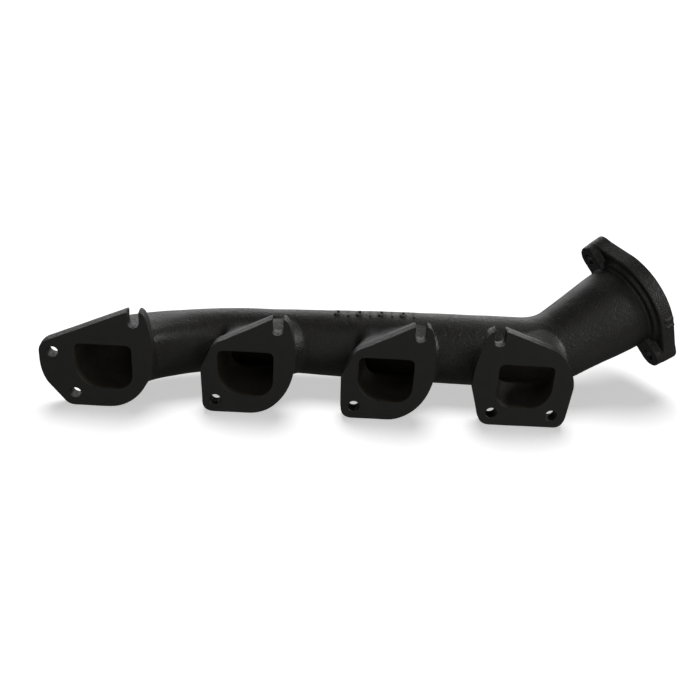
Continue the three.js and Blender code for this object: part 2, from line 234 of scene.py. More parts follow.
def middle_flange_outline():
    left = -35.0
    pen = Pen(left + FLANGE_CORNER, FLANGE_BOTTOM).slot_side()
    pen.line(-19.5, 27.9).curve((-23, 26), (-25, 22.6))
    pen.line(-34.4, 6.6).curve((-36, 3.9), (-36, 0.5))
    pen.line(left, FLANGE_BOTTOM + FLANGE_CORNER)
    return pen.curve((left, FLANGE_BOTTOM), (left + FLANGE_CORNER, FLANGE_BOTTOM)).points


def last_flange_outline():
    """Drawn with the slot on the right, then mirrored."""
    pen = Pen(-28, FLANGE_BOTTOM).line(35 - FLANGE_CORNER, FLANGE_BOTTOM)
    pen.curve((33.8, FLANGE_BOTTOM), (35.6, FLANGE_BOTTOM + FLANGE_CORNER))
    pen.line(42.6, -2).curve((43.6, 10), (40.4, 23))
    pen.curve((38.4, 34), (35.2, 43.6)).curve((33.8, 47), (31, 47.6))
    pen.slot().line(-18, 35).curve((-29, 31), (-39.8, 14), (-39.6, 1))
    pen.line(-37.2, -25).curve((-36, FLANGE_BOTTOM), (-28, FLANGE_BOTTOM))
    return [(-x, z) for x, z in reversed(pen.points)]


def spaced(points, count):
    """A closed outline as count points evenly spaced along it."""
    loop = np.array([*points, points[0]], float)
    run = np.concatenate([[0], np.cumsum(np.linalg.norm(np.diff(loop, axis=0), axis=1))])
    at = np.linspace(0, run[-1], count, endpoint=False)
    return np.stack([np.interp(at, run, loop[:, 0]), np.interp(at, run, loop[:, 1])], axis=1)


def port_outline(grow, big_left):
    w = PORT_WIDTH / 2 + grow
    h = PORT_HEIGHT / 2 + grow
    top = PORT_TOP_RADIUS + grow
    low_left, low_right = PORT_BIG_RADIUS + grow, PORT_SMALL_RADIUS + grow
    if not big_left:
        low_left, low_right = low_right, low_left
    pen = Pen(w, 0).arc((w - top, h - top), top, 0, 90).arc((top - w, h - top), top, 90, 180)
    pen.arc((low_left - w, low_left - h), low_left, 180, 270)
    pen.arc((w - low_right, low_right - h), low_right, 270, 360)
    return spaced(pen.points, SECTION_POINTS)


def circle_outline(radius):
    angle = np.linspace(0, 2 * math.pi, SECTION_POINTS, endpoint=False)
    return radius * np.stack([np.cos(angle), np.sin(angle)], axis=1)


class Path:
    """A line through points, followed by its length."""

    def __init__(self, points):
        self.points = np.asarray(points, float)
        steps = np.linalg.norm(np.diff(self.points, axis=0), axis=1)
        self.run = np.concatenate([[0], np.cumsum(steps)])
        self.length = self.run[-1]

    def at(self, t):
        s = t * self.length
        return np.array([np.interp(s, self.run, self.points[:, i]) for i in range(3)])

    def heading(self, t):
        step = 0.004
        return unit(self.at(min(t + step, 1)) - self.at(max(t - step, 0)))


# ---- centre lines --------------------------------------------------------------------------------

OUTLET_AXIS = np.array([
    math.cos(OUTLET_RISE) * math.cos(OUTLET_HEADING),
    math.cos(OUTLET_RISE) * math.sin(OUTLET_HEADING),
    math.sin(OUTLET_RISE),
])
ELBOW_TURN = math.acos(OUTLET_AXIS[0])
ELBOW_SIDE = unit(OUTLET_AXIS * (0, 1, 1))
log_start = np.array([port_x(1) + END_BEND_LENGTH, LOG_Y, LOG_Z])
elbow_start = np.array([port_x(4) + ELBOW_START, LOG_Y, LOG_Z])


def elbow_point(t):
    angle = t * ELBOW_TURN
    return elbow_start + ELBOW_RADIUS * (math.sin(angle) * X + (1 - math.cos(angle)) * ELBOW_SIDE)


elbow_arc = Path([elbow_point(t) for t in np.linspace(0, 1, PATH_POINTS)])
boss_back = elbow_point(1) + ELBOW_STRAIGHT * OUTLET_AXIS
plate_back = boss_back + OUTLET_BOSS * OUTLET_AXIS
outlet_face = plate_back + OUTLET_PLATE * OUTLET_AXIS
outlet_run = Path(np.linspace(elbow_point(1), outlet_face, PATH_POINTS))

level = unit(np.cross(Z, OUTLET_AXIS))
upright = np.cross(OUTLET_AXIS, level)
bolt_line = math.cos(OUTLET_BOLT_ANGLE) * level + math.sin(OUTLET_BOLT_ANGLE) * upright
across_bolts = np.cross(OUTLET_AXIS, bolt_line)


def runner_path(port):
    """Leaves its port square to the face and turns until it lies along the passage it joins."""
    if port == PORT_COUNT:
        merge, heading = elbow_arc.at(LAST_RUNNER_MERGE), elbow_arc.heading(LAST_RUNNER_MERGE)
    else:
        reach = END_BEND_LENGTH if port == 1 else RUNNER_SWEEP
        merge, heading = np.array([port_x(port) + reach, LOG_Y, LOG_Z]), X
    start = np.array([port_x(port), 0, 0])
    handle = ROUND_HANDLE * (merge[0] - start[0])
    t = np.linspace(0, 1, PATH_POINTS)[:, None]
    a, b, c = start, start + ROUND_HANDLE * LOG_Y * Y, merge - handle * heading
    return Path((1 - t)**3 * a + 3 * t * (1 - t)**2 * b + 3 * t * t * (1 - t) * c + t**3 * merge)


# ---- lofts ---------------------------------------------------------------------------------------


def ring(outline, centre, heading):
    side = unit(-np.cross(Z, heading))
    up = unit(np.cross(side, heading))
    return centre + outline[:, :1] * side + outline[:, 1:] * up


def rings_along(path, outline_at):
    steps = max(4, round(path.length / RING_SPACING))
    return [ring(outline_at(t), path.at(t), path.heading(t)) for t in np.linspace(0, 1, steps + 1)]


def log_radius(x):
    stations = (log_start[0], port_x(3), elbow_start[0])
    return np.interp(x, stations, (LOG_RADIUS_FIRST, LOG_RADIUS_MIDDLE, LOG_RADIUS_LAST))


def runner_rings(port, grow, sink):
    path = runner_path(port)
    start = port_outline(grow, port != PORT_COUNT)
    end_x = min(path.points[-1, 0], elbow_start[0])
    end = circle_outline(log_radius(end_x) - WALL + grow - sink)
    rings = rings_along(path, lambda t: start + (end - start) * smooth(t * RUNNER_EASE))
    return [rings[0] - MACHINING_STOCK * Y, *rings]


def log_rings(grow):
    xs = np.arange(log_start[0] + RING_SPACING, elbow_start[0] - RING_SPACING / 2, RING_SPACING)
    outlines = [circle_outline(log_radius(x) - WALL + grow) for x in xs]
    return [ring(outline, np.array([x, LOG_Y, LOG_Z]), X) for outline, x in zip(outlines, xs)]


def elbow_rings(grow):
    first = LOG_RADIUS_LAST - WALL + grow
    last = OUTLET_OUTER_RADIUS if grow > 0 else OUTLET_BORE_RADIUS
    share = elbow_arc.length / (elbow_arc.length + outlet_run.length)

    def outline_at(u):
        return circle_outline(first + (last - first) * smooth(u * ELBOW_EASE) ** 2)

    rings = rings_along(elbow_arc, lambda t: outline_at(t * share))
    rings += rings_along(outlet_run, lambda t: outline_at(share + t * (1 - share)))[1:]
    return [*rings, rings[-1] + MACHINING_STOCK * OUTLET_AXIS]


# ---- the field of distances ----------------------------------------------------------------------

margin = BAND + MACHINING_STOCK
corners = np.array([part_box(node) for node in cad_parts]) / MM
ORIGIN = np.floor(corners[:, 0].min(0) - margin)
SHAPE = tuple(np.ceil((corners[:, 1].max(0) + margin - ORIGIN) / VOXEL).astype(int))
COORDS = [ORIGIN[i] + VOXEL * np.arange(SHAPE[i]) for i in range(3)]


def window(low, high):
    """The slices of the field that hold a box, with the band round it."""
    first = np.clip(np.floor((np.asarray(low) - BAND - ORIGIN) / VOXEL), 0, SHAPE).astype(int)
    last = np.clip(np.ceil((np.asarray(high) + BAND - ORIGIN) / VOXEL) + 1, 0, SHAPE).astype(int)
    return tuple(slice(a, b) for a, b in zip(first, last))


def places(cells):
    return np.meshgrid(*(COORDS[i][cells[i]] for i in range(3)), indexing="ij", sparse=True)


def loft_field(rings):
    """Signed distances to a closed loft, inside negative, with the window that holds it."""
    count = len(rings[0])
    points = np.concatenate(rings)
    a = np.arange(count)
    b = (a + 1) % count
    sides = [np.stack([a, b, b + count, a + count], 1) + r * count for r in range(len(rings) - 1)]
    last = (len(rings) - 1) * count
    fan = np.stack([np.zeros(count - 2, int), a[2:], a[1:-1]], 1)
    cells = window(points.min(0), points.max(0))
    offset = np.array([c.start for c in cells])
    field = openvdb.FloatGrid.createLevelSetFromPolygons(
        ((points - ORIGIN) / VOXEL).astype(np.float32),
        triangles=np.concatenate([fan, fan[:, ::-1] + last]).astype(np.uint32),
        quads=np.concatenate(sides).astype(np.uint32),
        transform=openvdb.createLinearTransform(voxelSize=1.0),
        halfWidth=BAND / VOXEL,
    )
    values = np.zeros([c.stop - c.start for c in cells], np.float32)
    field.copyToArray(values, ijk=tuple(int(i) for i in offset))
    return values * VOXEL, cells


def round_join(a, b, radius):
    """Joins two fields with a fillet in the corner between them."""
    inward = np.sqrt(np.maximum(radius - a, 0) ** 2 + np.maximum(radius - b, 0) ** 2)
    return np.maximum(radius, np.minimum(a, b)) - inward


def round_overlap(a, b, radius):
    """What two fields share, with the edge between them rounded off."""
    outward = np.sqrt(np.maximum(radius + a, 0) ** 2 + np.maximum(radius + b, 0) ** 2)
    return np.minimum(-radius, np.maximum(a, b)) + outward


def blend_join(a, b, radius):
    """A fillet that shrinks to nothing where the two skins run alongside each other."""
    slopes = [np.gradient(f, VOXEL) for f in (a, b)]
    along = sum(p * q for p, q in zip(*slopes))
    return round_join(a, b, radius * smooth(1 - along) + 1e-4)


def passage(grow, fillet):
    """The main passage is one loft from port 1 to the outlet; the other runners join it."""
    body = np.full(SHAPE, BAND, np.float32)
    values, cells = loft_field([*runner_rings(1, grow, 0), *log_rings(grow), *elbow_rings(grow)])
    body[cells] = values
    for port in range(2, PORT_COUNT + 1):
        values, cells = loft_field(runner_rings(port, grow, MERGE_DEPTH))
        body[cells] = blend_join(body[cells], values, fillet)
    return body


def outline_field(points, xs, zs):
    """Signed distances to a flat outline at each place of a grid."""
    loop = spaced(points, OUTLINE_POINTS)
    gx, gz = np.meshgrid(xs, zs, indexing="ij")
    at = np.stack([gx.ravel(), gz.ravel()], 1)[:, None]
    start, step = loop, np.roll(loop, -1, axis=0) - loop
    t = np.clip(((at - start) * step).sum(2) / (step * step).sum(1), 0, 1)
    near = np.linalg.norm(at - start - t[..., None] * step, axis=2).min(1)
    rises = (start[:, 1] > at[..., 1]) != (start[:, 1] + step[:, 1] > at[..., 1])
    with np.errstate(divide="ignore", invalid="ignore"):
        crossing = start[:, 0] + (at[..., 1] - start[:, 1]) / step[:, 1] * step[:, 0]
    inside = ((rises & (at[..., 0] < crossing)).sum(1) % 2).astype(bool)
    return np.where(inside, -near, near).reshape(gx.shape)


def add_port_flange(body, port, points):
    """Both halves of the edge draft away from a parting line half way through the flange."""
    x0 = port_x(port)
    reach = np.array(points)
    low = (x0 + reach[:, 0].min(), -MACHINING_STOCK, reach[:, 1].min())
    high = (x0 + reach[:, 0].max(), FLANGE_THICKNESS, reach[:, 1].max())
    cells = window(low, high)
    gx, gy, gz = places(cells)
    flat = outline_field(points, gx.ravel() - x0, gz.ravel())[:, None, :]
    halfway = FLANGE_THICKNESS / 2
    edge = flat + DRAFT * np.abs(np.clip(gy, 0, FLANGE_THICKNESS) - halfway) - PARTING_SWELL
    plate = round_overlap(edge, gy - FLANGE_THICKNESS, BACK_EDGE_ROUND)
    body[cells] = round_join(body[cells], np.clip(plate, -BAND, BAND), FLANGE_FILLET)


def lug_plate(u, v):
    """Signed distances to the plate's outline: a round middle drawn out to two lugs."""
    half = OUTLET_BOLT_SPACING / 2
    taper = (OUTLET_PLATE_RADIUS - OUTLET_LUG_RADIUS) / half
    slope = math.sqrt(1 - taper * taper)
    ahead = u * slope - v * taper
    return np.where(
        ahead < 0, np.hypot(u, v) - OUTLET_PLATE_RADIUS,
        np.where(
            ahead > half * slope, np.hypot(u - half, v) - OUTLET_LUG_RADIUS,
            u * taper + v * slope - OUTLET_PLATE_RADIUS,
        ),
    )


def add_outlet_flange(body):
    """A two-lug plate, the collar that steps it down to the neck, and a boss behind each lug."""
    depth = OUTLET_BOSS + OUTLET_PLATE
    reach = OUTLET_PLATE_RADIUS + OUTLET_LUG_RADIUS + OUTLET_PLATE
    cells = window(plate_back - reach, plate_back + reach)
    gx, gy, gz = places(cells)
    offset = [g - c for g, c in zip((gx, gy, gz), boss_back)]
    axes = (bolt_line, across_bolts, OUTLET_AXIS)
    along, across, w = (sum(g * a for g, a in zip(offset, axis)) for axis in axes)
    u, v = np.abs(along), np.abs(across)
    plate = round_overlap(lug_plate(u, v) + DRAFT * (depth - w) / 2, OUTLET_BOSS - w, PLATE_EDGE_ROUND)
    plate = np.maximum(plate, w - depth - MACHINING_STOCK)
    for angle in np.radians(RIM_RIB_ANGLES):
        out = along * math.cos(angle) + across * math.sin(angle) - OUTLET_PLATE_RADIUS
        side = across * math.cos(angle) - along * math.sin(angle)
        rib = np.hypot(side, out) - RIM_RIB_RADIUS
        rib = round_overlap(rib, OUTLET_BOSS + OUTLET_PLATE / 3 - w, PLATE_EDGE_ROUND)
        plate = round_join(plate, np.maximum(rib, w - depth), RIM_RIB_RADIUS)
    collar = round_overlap(
        np.hypot(u, v) - OUTLET_COLLAR_RADIUS, OUTLET_BOSS - OUTLET_COLLAR - w, COLLAR_EDGE_ROUND
    )
    collar = np.maximum(collar, w - depth)
    half = OUTLET_BOLT_SPACING / 2
    inner = np.clip(u, half - BOSS_REACH, half)
    boss = np.hypot(u - inner, v) - OUTLET_LUG_RADIUS + DRAFT * (OUTLET_BOSS - w)
    boss = np.maximum(round_overlap(boss, -w, BOSS_EDGE_ROUND), w - depth)
    there = body[cells]
    for shape, fillet in ((collar, COLLAR_FILLET), (plate, COLLAR_FILLET), (boss, BOSS_FILLET)):
        there = round_join(there, np.clip(shape, -BAND, BAND), fillet)
    body[cells] = there


def sand_waves(seed):
    """Long soft waves, the same at every run: random heights on a coarse lattice, joined smoothly."""
    rng = np.random.default_rng(seed)
    coarse = [int(n * VOXEL / SAND_WAVE_LENGTH) + 4 for n in SHAPE]
    waves = rng.standard_normal(coarse).astype(np.float32)
    for axis, count in enumerate(SHAPE):
        at = np.arange(count) * VOXEL / SAND_WAVE_LENGTH + 0.5
        cell = at.astype(int)
        weight = smooth(at - cell).astype(np.float32)
        weight = weight.reshape([-1 if i == axis else 1 for i in range(3)])
        waves = np.take(waves, cell, axis) * (1 - weight) + np.take(waves, cell + 1, axis) * weight
    return waves * SAND_WAVE


def cast_body():
    body = passage(WALL, RUNNER_FILLET)
    middle = middle_flange_outline()
    outlines = (end_flange_outline(), middle, middle, last_flange_outline())
    for port, points in enumerate(outlines, 1):
        add_port_flange(body, port, points)
    add_outlet_flange(body)
    body += sand_waves(SKIN_SAND_SEED)
    core = passage(0, CORE_FILLET) + sand_waves(CORE_SAND_SEED)
    return np.maximum(body, -core), core


# ---- from the field to a mesh --------------------------------------------------------------------


def sample(field, points):
    grid = (points - ORIGIN) / VOXEL
    cell = np.clip(np.floor(grid).astype(int), 0, np.array(SHAPE) - 2)
    rest = grid - cell
    total = np.zeros(len(points))
    for corner in np.ndindex(2, 2, 2):
        weight = np.prod(np.where(corner, rest, 1 - rest), axis=1)
        i, j, k = (cell + corner).T
        total += weight * field[i, j, k]
    return total


def slope(field, points):
    step = VOXEL / 2
    sides = [sample(field, points + step * a) - sample(field, points - step * a) for a in (X, Y, Z)]
    return np.stack(sides, axis=1) / (2 * step)


def skin(field):
    """The surface where the field is nought, each point drawn onto it."""
    grid = openvdb.FloatGrid()
    grid.background = BAND
    grid.copyFromArray(field)
    points, quads = grid.convertToQuads(isovalue=0.0)
    points = ORIGIN + VOXEL * points.astype(float)
    for _ in range(2):
        steep = slope(field, points)
        size = np.maximum((steep * steep).sum(1), 0.3)
        shift = steep * (sample(field, points) / size)[:, None]
        points -= np.clip(shift, -VOXEL / 3, VOXEL / 3)
    return points, quads


def mesh_object(name, points, faces):
    mesh = bpy.data.meshes.new(name)
    mesh.from_pydata(np.asarray(points) * MM, [], faces if isinstance(faces, list) else faces.tolist())
    piece = bpy.data.objects.new(name, mesh)
    bpy.context.scene.collection.objects.link(piece)
    return piece


def boolean(piece, cutter, operation):
    """The mesh left after a join or cut, as a new mesh."""
    step = piece.modifiers.new("step", "BOOLEAN")
    step.operation = operation
    step.solver = "MANIFOLD"
    step.object = cutter
    graph = bpy.context.evaluated_depsgraph_get()
    made = bpy.data.meshes.new_from_object(piece.evaluated_get(graph))
    piece.modifiers.remove(step)
    return made


def half_space(point, direction):
    """Everything ahead of a plane, as a very large block."""
    direction = Vector(direction)
    turn = direction.to_track_quat("Z", "X").to_matrix().to_4x4()
    corners = [(x, y, z) for x in (-BIG, BIG) for y in (-BIG, BIG) for z in (0, BIG)]
    faces = [(0, 1, 3, 2), (4, 6, 7, 5), (0, 4, 5, 1), (2, 3, 7, 6), (0, 2, 6, 4), (1, 5, 7, 3)]
    points = [turn @ Vector(c) + Vector(point) for c in corners]
    return mesh_object("cutter", points, faces)


def drop(piece):
    mesh = piece.data
    bpy.data.objects.remove(piece)
    bpy.data.meshes.remove(mesh)


def part(piece, point, direction):
    """Parts a piece at a plane: what is ahead of it, and what is behind."""
    block = half_space(point, direction)
    ahead = bpy.data.objects.new("region", boolean(piece, block, "INTERSECT"))
    behind = bpy.data.objects.new("region", boolean(piece, block, "DIFFERENCE"))
    for found in (ahead, behind):
        bpy.context.scene.collection.objects.link(found)
    drop(block)
    drop(piece)
    return ahead, behind


def drill_profile(radius, depth, chamfer):
    """Radius and height of a drill that leaves a small chamfer at both mouths."""
    over = MACHINING_STOCK
    return [
        (0, -over), (radius + chamfer + over, -over), (radius, chamfer), (radius, depth - chamfer),
        (radius + chamfer, depth), (radius + chamfer, depth + over), (0, depth + over),
    ]


def turned(profile, base, axis, segments=CIRCLE_SEGMENTS):
    """A solid turned about an axis from (radius, height) pairs that start and end on it."""
    axis = unit(np.asarray(axis, float))
    side = unit(np.cross(axis, X if abs(axis[0]) < 0.9 else Y))
    other = np.cross(axis, side)
    base = np.asarray(base, float)
    inner = profile[1:-1]
    points = [base + profile[0][1] * axis, base + profile[-1][1] * axis]
    for radius, height in inner:
        for angle in np.linspace(0, 2 * math.pi, segments, endpoint=False):
            spoke = math.cos(angle) * side + math.sin(angle) * other
            points.append(base + height * axis + radius * spoke)
    faces = []
    for i in range(segments):
        j = (i + 1) % segments
        faces.append((0, 2 + j, 2 + i))
        for r in range(len(inner) - 1):
            a, b = 2 + r * segments, 2 + (r + 1) * segments
            faces.append((a + i, a + j, b + j, b + i))
        last = 2 + (len(inner) - 1) * segments
        faces.append((1, last + i, last + j))
    return points, faces


def gathered(solids):
    """Several separate solids as one object."""
    points, faces = [], []
    for some_points, some_faces in solids:
        faces += [tuple(i + len(points) for i in face) for face in some_faces]
        points += list(some_points)
    return mesh_object("cutter", points, faces)


def drills():
    """One drill for each round hole, all clear of each other."""
    spots = [(1, LOWER_HOLE), (1, SIDE_HOLE), (2, LOWER_HOLE), (3, LOWER_HOLE), (4, LOWER_HOLE)]
    spots.append((4, (STUD_X, LOWER_HOLE[1])))
    profile = drill_profile(STUD_HOLE, FLANGE_THICKNESS, STUD_HOLE_CHAMFER)
    solids = [turned(profile, (port_x(p) + x, 0, z), Y) for p, (x, z) in spots]
    profile = drill_profile(OUTLET_HOLE, OUTLET_BOSS + OUTLET_PLATE, OUTLET_HOLE_CHAMFER)
    for side in (-1, 1):
        centre = outlet_face + side * OUTLET_BOLT_SPACING / 2 * bolt_line
        solids.append(turned(profile, centre, -OUTLET_AXIS))
    return gathered(solids)


def machined(piece):
    """Faces the ports and the outlet, then drills the holes."""
    for cutter in (half_space((0, 0, 0), -Y), half_space(outlet_face, OUTLET_AXIS), drills()):
        piece.data = boolean(piece, cutter, "DIFFERENCE")
        drop(cutter)
    return piece


# ---- parting the casting into the frame's regions ------------------------------------------------

ROOT_ABOVE_FLANGE = 0.6             # the flange keeps the first of the fillet behind it
NECK_BELOW_BOSS = 1.0               # and the outlet flange keeps the last of the neck
END_BEND_REACH = 60.0               # from port 1 along the log
JUNCTION_BEFORE = 32.0              # a junction reaches this far before its port
JUNCTION_AFTER = 50.0
FIRST_RUNNER_SHARE = 0.36           # shares of a centre line where one region ends
LAST_JUNCTION_SHARE = 0.72
ELBOW_SHARE = 0.32


def parted(casting):
    """The regions by node name, each a closed piece that meets the next with no gap."""
    found = {}
    rest, flanges = part(casting, (0, FLANGE_THICKNESS + ROOT_ABOVE_FLANGE, 0), Y)
    for port in range(PORT_COUNT, 1, -1):
        found[f"port_flange_{port}"], flanges = part(flanges, (port_x(port) - PORT_PITCH / 2, 0, 0), X)
    found["port_flange_1"] = flanges
    bend = runner_path(1)
    rest, first = part(rest, (port_x(1) + END_BEND_REACH, 0, 0), X)
    bend_end = (bend.at(FIRST_RUNNER_SHARE), bend.heading(FIRST_RUNNER_SHARE))
    found["end_bend"], found["port_runner_1"] = part(first, *bend_end)
    for port in range(2, PORT_COUNT + 1):
        rest, found[f"log_section_{port - 1}"] = part(rest, (port_x(port) - JUNCTION_BEFORE, 0, 0), X)
        junction = rest
        if port < PORT_COUNT:
            rest, junction = part(rest, (port_x(port) + JUNCTION_AFTER, 0, 0), X)
        junction, found[f"port_runner_{port}"] = part(junction, (0, RUNNER_END_Y, 0), Y)
        found[f"log_junction_{port}"] = junction
    elbow_cut = (elbow_arc.at(LAST_JUNCTION_SHARE), elbow_arc.heading(LAST_JUNCTION_SHARE))
    rest, found["log_junction_4"] = part(junction, *elbow_cut)
    rest, found["outlet_elbow"] = part(rest, outlet_run.at(ELBOW_SHARE), OUTLET_AXIS)
    flange_root = boss_back - NECK_BELOW_BOSS * OUTLET_AXIS
    found["outlet_flange"], found["outlet_neck"] = part(rest, flange_root, OUTLET_AXIS)
    return found


def read(mesh, owner, name, width, kind=np.float32):
    values = np.empty(len(owner) * width, kind)
    owner.foreach_get(name, values)
    return values.reshape(-1, width) if width > 1 else values


def shade(piece, field):
    """Gives the cast skin the field's own normals, so that no seam shows where regions meet."""
    mesh = piece.data
    mesh.polygons.foreach_set("use_smooth", np.ones(len(mesh.polygons), bool))
    mesh.set_sharp_from_angle(angle=SHARP_EDGE)
    points = read(mesh, mesh.vertices, "co", 3) / MM
    steep = slope(field, points)
    steep /= np.maximum(np.linalg.norm(steep, axis=1, keepdims=True), 1e-6)
    on_skin = np.abs(sample(field, points)) < CAST_SKIN
    vertex = read(mesh, mesh.loops, "vertex_index", 1, np.int32)
    corners = read(mesh, mesh.polygons, "loop_total", 1, np.int32)
    face_normal = np.repeat(read(mesh, mesh.polygons, "normal", 3), corners, axis=0)
    plain = read(mesh, mesh.corner_normals, "vector", 3)
    agrees = on_skin[vertex] & ((steep[vertex] * face_normal).sum(1) > math.cos(SKIN_LEAN))
    mesh.normals_split_custom_set(np.where(agrees[:, None], steep[vertex], plain).tolist())


def face_kinds(piece):
    """0 for the cast skin, 1 for what the core shaped, 2 for the faced ports and outlet."""
    mesh = piece.data
    normal = read(mesh, mesh.polygons, "normal", 3)
    centre = read(mesh, mesh.polygons, "center", 3) / MM
    port_face = (normal[:, 1] < -0.999) & (centre[:, 1] < 0.02)
    ahead = (centre - outlet_face) @ OUTLET_AXIS
    outlet = (normal @ OUTLET_AXIS > 0.999) & (ahead > -0.02)
    cored = np.abs(sample(core_field, centre)) < CORE_SKIN
    return np.where(port_face | outlet, 2, cored).astype(np.int32)


# ---- raised foundry marks ------------------------------------------------------------------------


# How far each ring of a mark's side stands out from its outline, and its height over the log.
MARK_SIDE = (
    (1.0, -0.6), (1.0, -0.12), (0.55, 0.06), (0.24, 0.3), (0.08, 0.6), (-0.02, 0.86), (-0.2, 1.0),
)
WIDTH_PER_CORNER = 2.2              # a mark's width over the radius of its corners
FRAME_INNER_EDGE = 0.5
STROKE_CROWN_INSET = 1.2


def mark_loop(width, length, grow):
    """A rounded outline, moved outwards by grow."""
    corner = width / WIDTH_PER_CORNER + grow
    width, length = width + 2 * grow, length + 2 * grow
    pen = Pen(width / 2, 0)
    for quarter in range(4):
        sx = 1 if quarter in (0, 3) else -1
        sy = 1 if quarter < 2 else -1
        centre = (sx * (width / 2 - corner), sy * (length / 2 - corner))
        pen.arc(centre, corner, 90 * quarter, 90 * quarter + 90)
    return spaced(pen.points, MARK_POINTS)


def foundry_mark(name, x, framed):
    """A plain raised frame or stroke that follows the log, with a soft foot and a rounded top."""
    width = MARK_WIDTH if framed else MARK_STROKE
    rows = [(mark_loop(width, MARK_LENGTH, grow), height) for grow, height in MARK_SIDE]
    if framed:
        width, length = width - 2 * MARK_STROKE, MARK_LENGTH - 2 * MARK_STROKE
        rows.append((mark_loop(width, length, FRAME_INNER_EDGE), MARK_HEIGHT))
        rows += [(mark_loop(width, length, -grow), height) for grow, height in reversed(MARK_SIDE)]
    else:
        inset = STROKE_CROWN_INSET
        rows.append((mark_loop(width - inset, MARK_LENGTH - inset, 0), MARK_HEIGHT))
    points = []
    for loop, height in rows:
        for a, b in loop:
            lean = b / log_radius(x)
            out = np.array([0, math.sin(lean), math.cos(lean)])
            points.append(np.array([x + a, LOG_Y, LOG_Z]) + (log_radius(x) + height) * out)
    count, last = len(rows[0][0]), len(rows) - 1
    faces = []
    for r in range(last + 1 if framed else last):
        here, above = r * count, (r + 1) % (last + 1) * count
        for i in range(count):
            j = (i + 1) % count
            faces.append((here + i, here + j, above + j, above + i))
    if not framed:
        faces.append(tuple(range(count))[::-1])
        faces.append(tuple(range(last * count, (last + 1) * count)))
    return mesh_object(name, points, faces)


# ---- build the casting ---------------------------------------------------------------------------

field, core_field = cast_body()
points, quads = skin(field)
regions = parted(machined(mesh_object("casting", points, quads)))

# ---- finishes ------------------------------------------------------------------------------------


class Board:
    """A node tree laid out in code."""

    def __init__(self, tree):
        self.tree = tree
        tree.nodes.clear()

    def add(self, kind, values=None, **settings):
        node = self.tree.nodes.new(kind)
        for name, value in settings.items():
            setattr(node, name, value)
        for name, value in (values or {}).items():
            self.feed(node.inputs[name], value)
        return node

    def feed(self, socket, value):
        """Links another socket in, or sets a plain value."""
        if isinstance(value, bpy.types.NodeSocket):
            self.tree.links.new(value, socket)
        else:
            socket.default_value = value

    def noise(self, where, size, detail=2.0, rough=0.5, warp=0.0):
        """Soft noise whose lumps are about size metres across."""
        shape = {"Detail": detail, "Roughness": rough, "Distortion": warp}
        return self.add("ShaderNodeTexNoise", {"Vector": where, "Scale": 1 / size, **shape}).outputs[0]

    def cells(self, where, size):
        """Distance from the middles of close-packed cells about size metres across."""
        values = {"Vector": where, "Scale": 1 / size, "Randomness": 1.0}
        return self.add("ShaderNodeTexVoronoi", values, feature="F1").outputs["Distance"]

    def span(self, value, low, high, to_low=0.0, to_high=1.0):
        """A smooth step of value from low to high."""
        ends = {"From Min": low, "From Max": high, "To Min": to_low, "To Max": to_high}
        step = self.add("ShaderNodeMapRange", {"Value": value, **ends}, interpolation_type="SMOOTHSTEP")
        return step.outputs[0]

    def maths(self, operation, *values):
        node = self.add("ShaderNodeMath", operation=operation)
        for i, value in enumerate(values):
            self.feed(node.inputs[i], value)
        return node.outputs[0]

    def tint(self, share, first, second):
        node = self.add("ShaderNodeMix", {"Factor": share}, data_type="RGBA")
        for i, value in ((6, first), (7, second)):
            self.feed(node.inputs[i], value if isinstance(value, bpy.types.NodeSocket) else (*value, 1))
        return node.outputs[2]

    def lit(self, values):
        """Ends a material in one Principled shader."""
        shader = self.add("ShaderNodeBsdfPrincipled", values)
        self.feed(self.add("ShaderNodeOutputMaterial").inputs[0], shader.outputs[0])


def effect(name, inputs, outputs):
    """An empty shared effect with its sockets, ready to be filled."""
    tree = bpy.data.node_groups.new(name, "ShaderNodeTree")
    for socket, kind in inputs.items():
        tree.interface.new_socket(socket, in_out="INPUT", socket_type=kind)
    for socket, kind in outputs.items():
        tree.interface.new_socket(socket, in_out="OUTPUT", socket_type=kind)
    board = Board(tree)
    return board, board.add("NodeGroupInput").outputs, board.add("NodeGroupOutput")


VALUE, VECTOR = "NodeSocketFloat", "NodeSocketVector"


def make_sand_grain():
    """Skin left by green sand: close-packed grains, a few pits and soft swells."""
    names = {"Where": VECTOR, "Grain": VALUE, "Pits": VALUE}
    board, given, out = effect("sand_grain", names, {"Height": VALUE, "Hollow": VALUE})
    where = given["Where"]
    grains = board.span(board.cells(where, 0.0015), 0.0, 0.75, 1.0, 0.0)
    fine = board.noise(where, 0.0009, 3.0, 0.6)
    swell = board.noise(where, 0.0045, 2.0)
    pits = board.span(board.noise(where, 0.0026, 1.0), 0.62, 0.74)
    height = board.maths("MULTIPLY_ADD", grains, 0.45, board.maths("MULTIPLY", fine, 0.75))
    height = board.maths("MULTIPLY_ADD", swell, 0.9, board.maths("MULTIPLY", height, given["Grain"]))
    sunk = board.maths("MULTIPLY", pits, given["Pits"])
    board.feed(out.inputs["Height"], board.maths("SUBTRACT", height, sunk))
    board.feed(out.inputs["Hollow"], sunk)
    return board.tree


def make_coat_mottle():
    """Sprayed heat paint: slow drifts in film thickness and small dry flecks."""
    board, given, out = effect("coat_mottle", {"Where": VECTOR}, {"Drift": VALUE, "Flecks": VALUE})
    drift = board.noise(given["Where"], 0.024, 3.0, 0.55, 0.6)
    flecks = board.span(board.noise(given["Where"], 0.0016, 2.0, 0.7), 0.58, 0.70)
    board.feed(out.inputs["Drift"], board.span(drift, 0.3, 0.7))
    board.feed(out.inputs["Flecks"], flecks)
    return board.tree


